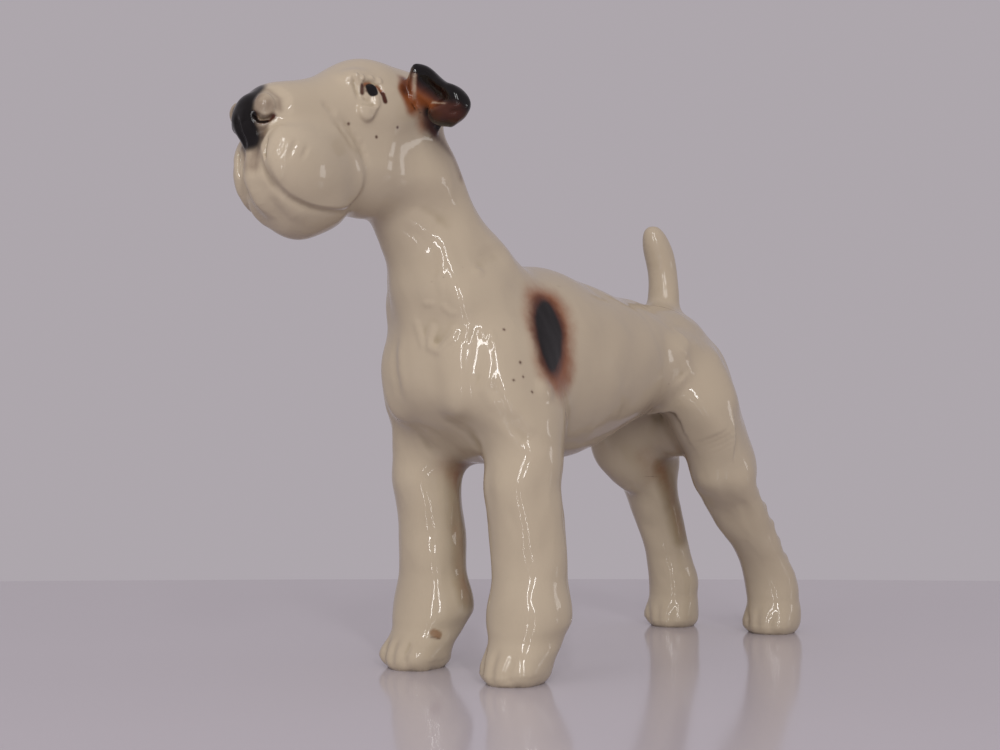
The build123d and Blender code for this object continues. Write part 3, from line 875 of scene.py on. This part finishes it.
def spray(stain, *stroke, **settings):
    """Colours what lies within reach of a line, in mm, with a soft edge."""
    stains_and_shade[stain] = 1 - (1 - stains_and_shade[stain]) * (1 - cover_of(*stroke, **settings))


def lighten_into_highlight(places, *stroke):
    """Thins the sprayed colour along a line, on both sides, into a painted highlight."""
    for line in (places, mirrored(places)):
        for stain in ("black", "brown", "orange"):
            stains_and_shade[stain] *= 1 - cover_of(line, *stroke)


def spray_both(stain, places, reach, soft, strength=1.0, facing=None):
    spray(stain, places, reach, soft, strength, facing)
    other_way = None if facing is None else (facing[0], -facing[1], facing[2])
    spray(stain, mirrored(places), reach, soft, strength, other_way)


def paint(*marks):
    """Sprays marks on both sides of the head. The stain "off" thins what is there into a painted highlight.
    """
    for stain, spots, *stroke in marks:
        if stain == "off":
            lighten_into_highlight(heads(spots), *stroke)
        else:
            spray_both(stain, heads(spots), *stroke)


# %% Paint the nose
spray("black", [head(4.6, 0, 19.0), head(1.0, 0, 22), head(0.8, 0, 27)], 2.7, 2.8)
spray("black", [head(0.8, 0, 26), head(3.0, 0, 30)], 2.7, 2.6)
paint(
    ("black", ((2.0, -3.2, 21.5), (1.7, -3.0, 25), (2.6, -3.4, 29)), 0.2, 2.4, 0.9),
    ("black", ((3.0, -2.4, 29), (4.0, -3.0, 32)), 1.0, 2.8, 0.8),
    ("black", COMMA[:3], 0.2, 0.7, 0.95),
    ("brown", COMMA, 0.25, 0.9, 0.9),
    ("brown", ((3.4, -4.9, 22), (3.2, -5.0, 24.6), (5.5, -6.5, 24)), 0.8, 3.4, 0.42),
    # The faint brown in the groove behind the nostril's wing is painted shade.
    ("brown", ((6.8, -5.4, 18.8), (8.3, -7.6, 21.0), (8.2, -8.2, 24)), 0.1, 1.5, 0.3),
    ("brown", ((3.6, -4.4, 28.6), (4.3, -3.4, 33), (4.6, -2.4, 38)), 0.8, 3.0, 0.42),
    # The faint brown under the lip of the nostril is painted shade.
    ("brown", ((5.6, -6.4, 28), (5.0, -5.0, 31.5)), 0.1, 1.5, 0.35),
)

# %% Paint the eyes
paint(
    ("black", ((33.8, -12.9, 13.2), (34.1, -13.0, 13.9)), 1.35, 0.5),
    ("brown", ((32.6, -12.4, 12.3), (32.5, -12.5, 14.2)), 0.1, 0.7, 0.7),
    ("brown", ((31.7, -12.0, 12.8), (31.4, -12.2, 15.0)), 0.35, 0.6, 0.8),
    ("orange", ((32.4, -12.3, 12.0), (33.7, -12.5, 11.3)), 0.3, 0.8, 0.7),
    ("orange", ((36.0, -13.3, 12.0), (37.0, -13.9, 14.0)), 0.45, 0.7, 0.8),
    ("brown", ((36.9, -13.9, 14.0), (37.4, -14.3, 16.0)), 0.45, 0.6, 0.9),
)

# %% Paint the ears
MIDDLE_OF_FLAP = ((47, -19.3, 7.6), (48.5, -23, 10.6), (49.4, -26.6, 13.6), (51, -29.3, 15.4))
paint(
    ("orange", ((46.3, -17.2, 10.2), (47.7, -18.8, 12.8), (48.8, -22, 14.6),
     (49, -26, 16)), 2.2, 3.2, 0.85),  # fold
    ("orange", ((46.6, -15.2, 12), (49, -16, 15), (51.5, -14.4, 18.4)), 1.0, 3.6, 0.5),
    ("brown", MIDDLE_OF_FLAP, 2.6, 2.6, 0.95),
    ("black", ((47, -18.6, 4.9), (48.4, -23.2, 8.1), (50.1, -28.7, 12.9),
     (53.2, -29.7, 15.1)), 2.6, 3.0, 0.95),  # top
    ("black", MIDDLE_OF_FLAP, 0.8, 3.2, 0.6),
    # The pale line left along the front ridge of the flap is a painted highlight.
    ("off", ((45.7, -16.9, 7.3), (46.2, -15.7, 9.6), (46.6, -14.9, 13)), 0.3, 0.8, 0.7),
    ("brown", ((45.7, -13, 7.0), (44.4, -14.2, 11.5)), 0.4, 2.2, 0.6),
    ("orange", ((45.7, -13, 7.0), (44.4, -14.3, 11.5), (46, -14.8, 16)), 0.8, 2.4, 0.7),
    # The brown and black below the roll, on the back of the fold, are painted shade.
    ("brown", ((57.5, -17, 18.6), (55.7, -21.1, 18.7), (53, -26.2, 19.3)), 1.6, 3.6, 0.85),
    ("black", ((55, -16.6, 18.4), (54.5, -21.1, 18.9)), 0.6, 3.2, 0.75),
    ("orange", ((51.8, -20, 16.8), (50.4, -25, 17.4), (50.6, -29, 17.6)), 1.2, 1.4, 0.8),
    # The two pale lines along the roll of the flap's edge are painted highlights.
    ("off", ((51.6, -18.6, 16.2), (51.3, -20.9, 16.5), (49.9, -26.2, 17.3),
     (50.4, -29, 17.2)), 0.1, 0.6, 0.7),
    ("off", ((53.7, -19.2, 17.8), (53.3, -22, 18.2), (51.4, -26.9, 18.8)), 0.2, 0.7, 0.7),
    # Under the flap the ear's own brown is deepened with painted shade.
    ("brown", ((48.6, -19, 20), (48.6, -24, 20.3), (50.2, -28, 19.4)), 2.0, 1.6, 0.85),
    ("brown", ((55.5, -18, 19), (55.5, -24, 19.5), (53.5, -28.5, 18)), 3.5, 3.0, 0.9),
    ("black", ((49, -18, 19.5), (51, -19, 21), (52, -23, 21)), 1.4, 3.0, 0.75),
    # The dark along the slit between the fold and the head is painted shade.
    ("brown", SLIT, 1.0, 3.4, 0.7),
    ("black", SLIT, 0.4, 2.0, 0.85),
    # The faint brown on the neck below and behind the ear, only where the skin faces back, is painted shade.
    ("brown", ((58, -14.2, 20.5), (65, -12, 24), (69, -11, 29)), 0.6, 2.8, 0.4, (1, -0.6, 0)),
)

# %% Paint the flank
spray("orange", bodies(((39.5, -20.4, 107), (37.2, -24.5, 98), (37.2, -26.6, 87.6))), 3.8, 9.0, 0.62)
spray("orange", bodies(((38.2, -23, 101), (37.2, -26, 92))), 5.4, 8.5, 0.5)
PATCH = (
    # a line down the patch, and how far the black reaches
    (((39.0, -20.8, 106.8), (34.4, -27.1, 89.6)), 1.0),
    (((38.0, -21.8, 103.8), (34.6, -26.3, 92.8)), 2.9),
    (((36.6, -23.4, 100.6), (35.2, -25.2, 95.6)), 4.4),
)
for spots, reach in PATCH:
    spray("brown", bodies(spots), reach + 0.8, 5.0, 0.6)
    spray("black", bodies(spots), reach, 2.4)
# Two thin paler lines through the black of the patch are painted highlights of the locks that cross it.
PATCH_HIGHLIGHTS = (((33.2, -23.6, 101), (32.4, -27, 90.5)), ((38.3, -22.6, 102.5), (37.2, -24.4, 96.5)))
for spots in PATCH_HIGHLIGHTS:
    lighten_into_highlight(bodies(spots), 0.1, 0.8, 0.12)
# The faint orange on the insides of the legs, under the chest and between the thighs on both sides, is
# painted shade.
spray_both("orange", [body(33, -9, 60), body(28, -10, 62)], 2, 5, 0.22)
spray_both("orange", [body(139, -11, 60), body(132, -11.5, 67)], 2, 5, 0.22)

# %% Kiln specks, and a chip on a paw
SPECKS = (
    body(18.8, -22.3, 98.1), body(21.5, -27.3, 84.7), body(18.5, -26.2, 83.4), body(24.3, -28.6, 80.6),
    body(50.1, -16.9, 115.1), body(21.3, -26.4, 88.9), head(27.9, -10.8, 23.9), head(36.4, -11.6, 25.5),
    head(42.3, -14.1, 21.9),
)
for speck in SPECKS:
    spray("brown", [speck], 0.15, 0.6, 0.8)


def pool(places, reach, soft):
    """Gives a line the darker colour that the glaze has in a hollow."""
    stains_and_shade["hollow"] = np.maximum(stains_and_shade["hollow"], 0.5 + 0.5 * cover_of(places, reach, soft))


chip = bodies(((24.1, 10.4, 11.0), (25.6, 10.0, 10.6)))
pool(chip, 1.0, 0.6)
spray("orange", chip, 0.9, 0.8, 0.45)
spray("brown", bodies(((23.4, 11.0, 9.9), (25.9, 10.0, 9.4))), 0.1, 0.6, 0.5)

# %% Ochre lines down the right legs, and bare soles
OCHRE_LINES = (
    ((32, 13, 66), (33, 12.5, 50), (34, 12, 34), (35, 12, 20)),
    ((141, 12, 66), (150, 12, 50), (158, 12, 36)),
)
# Each line gets the darker glaze colour of a hollow and a faint ochre tint.
for spots in OCHRE_LINES:
    pool(bodies(spots), 2.0, 5.0)
    spray("orange", bodies(spots), 1.0, 4.5, 0.28)
stains_and_shade["bare"][clay.co[:, 2] < 0.2] = 1.0
print("sprayed:", {name: round(float((cover > 0.5).mean()) * 100, 2) for name, cover in stains_and_shade.items()})

# %% [markdown]
# ## Cutting the skin at the real joins
# Each casting gets the part of the skin that belongs to it. A flat cut closed with a cap keeps every piece
# a closed body. The shading would break at the cuts, because a point at the edge sees only one side, so
# each point first remembers the normal that it has on the uncut skin.
# %% Store the normals and the colour masks, painted shade among them, on the points
remembered = skin.data.attributes.new("uncut_normal", "FLOAT_VECTOR", "POINT")
remembered.data.foreach_set("vector", clay.normal.ravel())
for name, cover in stains_and_shade.items():
    stain = skin.data.attributes.new(name, "FLOAT", "POINT")
    stain.data.foreach_set("value", cover)


def twin(thing, name):
    """A copy of the whole skin, to be cut down to one piece."""
    copy = bpy.data.objects.new(name, thing.data.copy())
    bpy.context.scene.collection.objects.link(copy)
    return copy


def cut(thing, place, direction, region=None, keep_region_only=False):
    """Removes what lies ahead of a flat cut and caps it. A region limits the cut to the faces inside it."""
    if keep_region_only:
        select_faces(thing, lambda middle: ~region(middle))
        bpy.ops.object.mode_set(mode="EDIT")
        bpy.ops.mesh.delete(type="FACE")
        bpy.ops.object.mode_set(mode="OBJECT")
        region = None
    select_faces(thing, region or (lambda middle: np.ones(len(middle), bool)))
    bpy.ops.object.mode_set(mode="EDIT")
    bpy.ops.mesh.bisect(plane_co=place, plane_no=direction, use_fill=True, clear_outer=True)
    bpy.ops.object.mode_set(mode="OBJECT")


# %% Cut off the legs
FEWEST_POINTS = 1000  # a loose bit with fewer is a crumb of the cut
leg_seam = Vector((0, 0, TRUNK_LOW.z))
legs_skin = twin(skin, "legs")
cut(legs_skin, leg_seam, (0, 0, 1))
cut(skin, leg_seam, (0, 0, -1))
pieces = {}
for part in islands(legs_skin):
    middle = sum((v.co for v in part.data.vertices), Vector()) / len(part.data.vertices)
    node = min(LEGS, key=lambda name: (SOLES[name].xy - middle.xy).length)
    if len(part.data.vertices) > FEWEST_POINTS:
        pieces[node] = part
    else:
        bpy.data.objects.remove(part)

# %% Cut off the head, the ears and the tail
seam_front = Vector((TRUNK_LOW.x, 0, HEAD_LOW.z))
seam_rear = Vector((HEAD_HIGH.x, 0, TRUNK_HIGH.z))
seam_rise = (seam_rear - seam_front).cross(Vector((0, 1, 0))).normalized()
if seam_rise.z < 0:
    seam_rise = -seam_rise
head_skin = twin(skin, "head_skin")
cut(head_skin, seam_front, -seam_rise)
cut(skin, seam_front, seam_rise)

TAIL_LOW, TAIL_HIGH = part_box("tail")
TAIL_MARGIN, TAIL_SINK = 2 * MM, 8.5 * MM  # round the tail's box, and from the top of the trunk to the seam


def by_tail(middle):
    """Which faces lie in the tail's box, a little widened."""
    inside = (middle[:, 0] > TAIL_LOW.x - TAIL_MARGIN) & (middle[:, 0] < TAIL_HIGH.x + TAIL_MARGIN)
    return inside & (abs(middle[:, 1]) < TAIL_HIGH.y + TAIL_MARGIN) & (middle[:, 2] > TAIL_LOW.z)


tail_seam = Vector((0, 0, TRUNK_HIGH.z - TAIL_SINK))
tail_skin = twin(skin, "tail_skin")
cut(tail_skin, tail_seam, (0, 0, -1), by_tail, keep_region_only=True)
cut(skin, tail_seam, (0, 0, 1), by_tail)
pieces["tail"] = tail_skin

# %% Cut off the ears along the plane of their roots
EAR_REACH, FLAP_SKIN, ROOT_LIFT = 26 * MM, 2.0 * MM, 1.1  # the last, in mm, from the root to the seam


def root_of(node):
    """The middle and the outward direction of an ear's root, from where its casting touches the head's."""
    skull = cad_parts["head_and_neck"]
    corners = [v.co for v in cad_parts[node].data.vertices]
    root = np.array([co for co in corners if (skull.closest_point_on_mesh(co)[1] - co).length < 0.03 * MM])
    middle = root.mean(0)
    direction = np.linalg.svd(root - middle, full_matrices=False)[2][2]
    return middle, direction * np.sign(direction @ (np.mean(corners, axis=0) - middle)), np.ptp(root, axis=0)


for node in EARS:
    middle, outward, spread = root_of(node)
    print(node, "root:", np.round(middle / MM, 1), np.round(outward, 2), np.round(spread / MM, 1))
    flap = KDTree(len(ear_points[node]))
    for number, point in enumerate(ear_points[node]):
        flap.insert(point, number)
    flap.balance()

    def by_ear(middles):
        near = np.linalg.norm(middles - middle, axis=1) < EAR_REACH
        near[near] = [flap.find(place)[2] < FLAP_SKIN for place in middles[near]]
        return near

    place = middle + np.array(EAR_MOVE) + outward * ROOT_LIFT * MM
    ear_skin = twin(head_skin, node + "_skin")
    cut(ear_skin, place, -outward, by_ear, keep_region_only=True)
    cut(head_skin, place, outward, by_ear)
    pieces[node] = ear_skin
pieces["head_and_neck"] = head_skin
pieces["trunk"] = skin

# %% [markdown]
# ## Fewer facets on the flanks
# The trunk is the largest piece and has more facets than its plain flanks need. The decimate modifier
# removes those that matter least. A vertex group keeps it away from the patch, the thighs and the seams,
# where the edges of two pieces have to stay together.
# %% Thin the flanks
MOST_TRIANGLES = 190000


def triangles(thing):
    return sum(len(face.vertices) - 2 for face in thing.data.polygons)


flanks = skin.vertex_groups.new(name="flanks")
front_of_flanks, back_of_flanks = body(47, 0, 0).x, body(96, 0, 0).x
on_flanks = [v.index for v in skin.data.vertices if front_of_flanks < v.co.x < back_of_flanks]
flanks.add(on_flanks, 1.0, "REPLACE")
pick(skin)
thinner = skin.modifiers.new("thinner", "DECIMATE")
thinner.vertex_group = "flanks"
thinner.ratio = MOST_TRIANGLES / triangles(skin)
bpy.ops.object.modifier_apply(modifier=thinner.name)
skin.vertex_groups.clear()
print("triangles:", {node: triangles(piece) for node, piece in pieces.items()})

# %% Shade each piece with the stored normals


def dress_normals(piece):
    """Gives the outer faces the normals of the uncut skin, and the caps of the cuts their own."""
    mesh = piece.data
    count = len(mesh.vertices)
    soft = np.empty(count * 3)
    mesh.attributes["uncut_normal"].data.foreach_get("vector", soft)
    soft = soft.reshape(-1, 3)
    face_normals = np.empty(len(mesh.polygons) * 3)
    mesh.polygons.foreach_get("normal", face_normals)
    face_normals = face_normals.reshape(-1, 3)
    corner_point = np.empty(len(mesh.loops), np.int32)
    mesh.loops.foreach_get("vertex_index", corner_point)
    corner_count = np.empty(len(mesh.polygons), np.int32)
    mesh.polygons.foreach_get("loop_total", corner_count)
    corner_face = np.repeat(np.arange(len(mesh.polygons)), corner_count)
    normal = soft[corner_point]
    flat = face_normals[corner_face]
    facing = np.add.reduceat((normal * flat).sum(1), np.cumsum(corner_count) - corner_count) / corner_count
    cap = (facing < 0.5)[corner_face]
    normal[cap] = flat[cap]
    mesh.polygons.foreach_set("use_smooth", np.ones(len(mesh.polygons), bool))
    mesh.normals_split_custom_set(normal)
    mesh.attributes.remove(mesh.attributes["uncut_normal"])


for node, piece in pieces.items():
    dress_normals(piece)
    piece.name = node + "_skin"
    piece.data.name = piece.name

# %% [markdown]
# ## Glaze
# The glaze is one clear, thick, glossy coat over a cream body. Its colour isn't even: it is paler where it
# runs thin over a ridge and olive where it gathers, it clouds slowly from place to place, and it holds
# small iron specks. A clear coat over a softer base gives the sharp reflection with a satin glow below it,
# and a fine ripple breaks the reflection up. The soles were wiped before firing and show the bare clay.
# All patterns read Object coordinates in metres, so a scale of 100 is a pattern of about a centimetre.
# %% Helpers for materials


def add(tree, kind, settings=None, **inputs):
    """A node with its settings and inputs, named or numbered (_0). A value may be another node's output."""
    node = tree.nodes.new(kind)
    for name, value in (settings or {}).items():
        setattr(node, name, value)
    for name, value in inputs.items():
        key = int(name[1:]) if name[1:].isdigit() else name.replace("_", " ")
        if isinstance(value, bpy.types.NodeSocket):
            tree.links.new(value, node.inputs[key])
        else:
            node.inputs[key].default_value = value
    return node


def stretched(tree, value, low, high, to_low=0.0, to_high=1.0):
    """The value, moved from one range to another and held inside it."""
    node = add(tree, "ShaderNodeMapRange", {"clamp": True, "interpolation_type": "SMOOTHSTEP"})
    for key, number in zip((1, 2, 3, 4), (low, high, to_low, to_high)):
        node.inputs[key].default_value = number
    tree.links.new(value, node.inputs[0])
    return node.outputs[0]


def calc(tree, operation, first, second):
    return add(tree, "ShaderNodeMath", {"operation": operation}, _0=first, _1=second).outputs[0]


def blend(tree, share, under, over):
    """One colour laid over another."""
    return add(tree, "ShaderNodeMix", {"data_type": "RGBA"}, _0=share, _6=under, _7=over).outputs[2]


def random_pattern(tree, place, scale, detail, roughness):
    """A soft noise."""
    settings = {"Vector": place, "Scale": scale, "Detail": detail, "Roughness": roughness}
    return add(tree, "ShaderNodeTexNoise", None, **settings).outputs[0]


def stain_value(tree, name):
    return add(tree, "ShaderNodeAttribute", {"attribute_name": name}).outputs["Fac"]


# %% The glaze
CREAM = (0.44, 0.365, 0.268, 1)
PALE = (0.50, 0.43, 0.335, 1)
OLIVE = (0.27, 0.215, 0.13, 1)
CLAY = (0.50, 0.42, 0.32, 1)
BLACK = (0.004, 0.003, 0.003, 1)
BROWN = (0.055, 0.016, 0.009, 1)
ORANGE = (0.21, 0.062, 0.02, 1)
SPECK = (0.14, 0.09, 0.06, 1)


def body_colour(tree, clouds):
    """Pale on the ridges, cream between them, olive where the glaze gathers."""
    depth = calc(tree, "ADD", stain_value(tree, "hollow"), calc(tree, "MULTIPLY", clouds, 0.5))
    colour = blend(tree, stretched(tree, depth, 0.35, 0.75, 0.0, 1.0), PALE, CREAM)
    return blend(tree, stretched(tree, depth, 0.82, 1.25, 0.0, 0.75), colour, OLIVE)


def specked(tree, place, colour):
    """Iron specks: the middles of a few cells."""
    cells = add(tree, "ShaderNodeTexVoronoi", None, Vector=place, Scale=95.0, Randomness=1.0)
    dots = stretched(tree, cells.outputs["Distance"], 0.02, 0.045, 1.0, 0.0)
    chance = add(tree, "ShaderNodeSeparateColor", None, Color=cells.outputs["Color"]).outputs[0]
    share = calc(tree, "MULTIPLY", dots, stretched(tree, chance, 0.9, 0.92))
    return blend(tree, calc(tree, "MULTIPLY", share, 0.6), colour, SPECK)


def stained_and_shaded(tree, place, colour):
    """The sprays, with a grain that breaks up their soft edges only."""
    streaks = random_pattern(tree, place, 160.0, 6.0, 0.6)
    grain = calc(tree, "MULTIPLY", calc(tree, "SUBTRACT", streaks, 0.5), 0.55)
    for stain, tint in (("orange", ORANGE), ("brown", BROWN), ("black", BLACK)):
        cover = stain_value(tree, stain)
        edge = calc(tree, "MULTIPLY", calc(tree, "MULTIPLY", cover, calc(tree, "SUBTRACT", 1.0, cover)), 4.0)
        broken = calc(tree, "ADD", cover, calc(tree, "MULTIPLY", grain, edge))
        colour = blend(tree, stretched(tree, broken, 0.0, 0.9), colour, tint)
    return colour


def glaze(name):
    material = bpy.data.materials.new(name)
    material.use_nodes = True
    tree = material.node_tree
    shader = tree.nodes["Principled BSDF"]
    place = add(tree, "ShaderNodeTexCoord").outputs["Object"]
    clouds = random_pattern(tree, place, 38.0, 4.0, 0.55)
    bare = stain_value(tree, "bare")
    colour = stained_and_shaded(tree, place, specked(tree, place, body_colour(tree, clouds)))
    tree.links.new(blend(tree, bare, colour, CLAY), shader.inputs["Base Color"])

    satin = stretched(tree, clouds, 0.35, 0.65, 0.16, 0.26)
    satin = calc(tree, "ADD", satin, calc(tree, "MULTIPLY", bare, 0.5))
    tree.links.new(satin, shader.inputs["Roughness"])
    shader.inputs["IOR"].default_value = 1.45
    shader.inputs["Specular IOR Level"].default_value = 0.06
    shader.inputs["Coat Weight"].default_value = 0.5
    shader.inputs["Coat Roughness"].default_value = 0.035
    ripple = random_pattern(tree, place, 120.0, 2.0, 0.4)
    rippled = add(tree, "ShaderNodeBump", None, Height=ripple, Strength=0.35, Distance=0.0006)
    for normal in ("Normal", "Coat Normal"):
        tree.links.new(rippled.outputs[0], shader.inputs[normal])
    return material


# %% Give every casting its glaze
SLOTS = {"trunk": "trunk_glaze", "head_and_neck": "head_glaze", **dict.fromkeys(EARS, "ear_glaze")}
glazes = {slot: glaze(slot) for slot in ("cream_glaze", "trunk_glaze", "head_glaze", "ear_glaze")}
for node, piece in pieces.items():
    slot = SLOTS.get(node, "cream_glaze")
    piece.data.materials.clear()
    piece.data.materials.append(glazes[slot])
    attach(piece, "root")
    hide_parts(node)

# %% [markdown]
# ## Floor, light and camera
# The figurine stands on a round table in a plain room, and its glaze mirrors a tall window with two panes.
# A few lamps could never give the long narrow highlights of such a window, so each pane is an area lamp
# of a pane's proportions. A broad fill, which the glaze doesn't mirror, stands for the light of the room,
# and a small weak lamp lifts what faces sideways. The camera sits low, under the level of the back, and
# looks slightly up.
# %% Camera
CAMERA_PLACE = Vector((-0.270, -0.2287, 0.0548))
LOOK_LEVEL = Vector((0.7361, 0.6768, 0))
LOOK_RISE = math.radians(5.71)
deselect_all()
bpy.ops.object.camera_add(location=CAMERA_PLACE)
camera = bpy.context.object
direction = LOOK_LEVEL * math.cos(LOOK_RISE) + Vector((0, 0, math.sin(LOOK_RISE)))
camera.rotation_euler = direction.to_track_quat("-Z", "Y").to_euler()
camera.data.lens = 39.6
camera.data.sensor_width = 36
camera.data.clip_start = 0.01
bpy.context.scene.camera = camera

# %% Table and room
TABLE_RADIUS, TABLE_BEHIND = 3.0, 0.30  # a wide round table, whose far edge lies just behind the dog
away = LOOK_LEVEL.normalized()
table_middle = away * (TABLE_BEHIND - TABLE_RADIUS)
deselect_all()
bpy.ops.mesh.primitive_circle_add(vertices=128, radius=TABLE_RADIUS, fill_type="NGON", location=table_middle)
floor = bpy.context.object
floor.name = "floor"
pale = bpy.data.materials.new("pale_floor")
pale.use_nodes = True
pale.node_tree.nodes["Principled BSDF"].inputs["Base Color"].default_value = (0.58, 0.54, 0.58, 1)
pale.node_tree.nodes["Principled BSDF"].inputs["Roughness"].default_value = 0.12
floor.data.materials.append(pale)

world = bpy.data.worlds.new("world")
bpy.context.scene.world = world
world.use_nodes = True
world.node_tree.nodes["Background"].inputs["Color"].default_value = (0.84, 0.77, 0.83, 1)
world.node_tree.nodes["Background"].inputs["Strength"].default_value = 0.5

# %% Lamps


def softbox(name, place, aim, size, power):
    """An area lamp that points at a place."""
    deselect_all()
    bpy.ops.object.light_add(type="AREA", location=place)
    lamp = bpy.context.object
    lamp.name = name
    lamp.data.shape = "RECTANGLE"
    lamp.data.size, lamp.data.size_y = size
    lamp.data.energy = power
    lamp.rotation_euler = (Vector(aim) - Vector(place)).to_track_quat("-Z", "Y").to_euler()
    return lamp


WINDOW_AWAY, WINDOW_UP, WINDOW_TURN = 1.15, 0.5, math.radians(48)
PANE, PANE_GAP = (0.066, 0.75), 0.36
window = Vector((-math.cos(WINDOW_TURN), -math.sin(WINDOW_TURN), 0)) * WINDOW_AWAY
for number, aside in enumerate((-0.5, 0.5)):
    along_sill = Vector((-window.y, window.x, 0)).normalized()
    place = window + along_sill * aside * PANE_GAP + Vector((0, 0, WINDOW_UP))
    softbox(f"pane_{number}", place, (0, 0, 0.1), PANE, 4.2)
fill = softbox("fill", (-1.2, 0.1, 0.4), (0, 0, 0.09), (0.8, 0.8), 2.8)
fill.visible_glossy = False  # a room lights the dog from the front as well, but only the panes are mirrored
softbox("side_lamp", (0.76, -0.92, 0.22), (0, 0, 0.1), (0.16, 0.24), 0.45)
bpy.context.scene.view_settings.view_transform = "Standard"
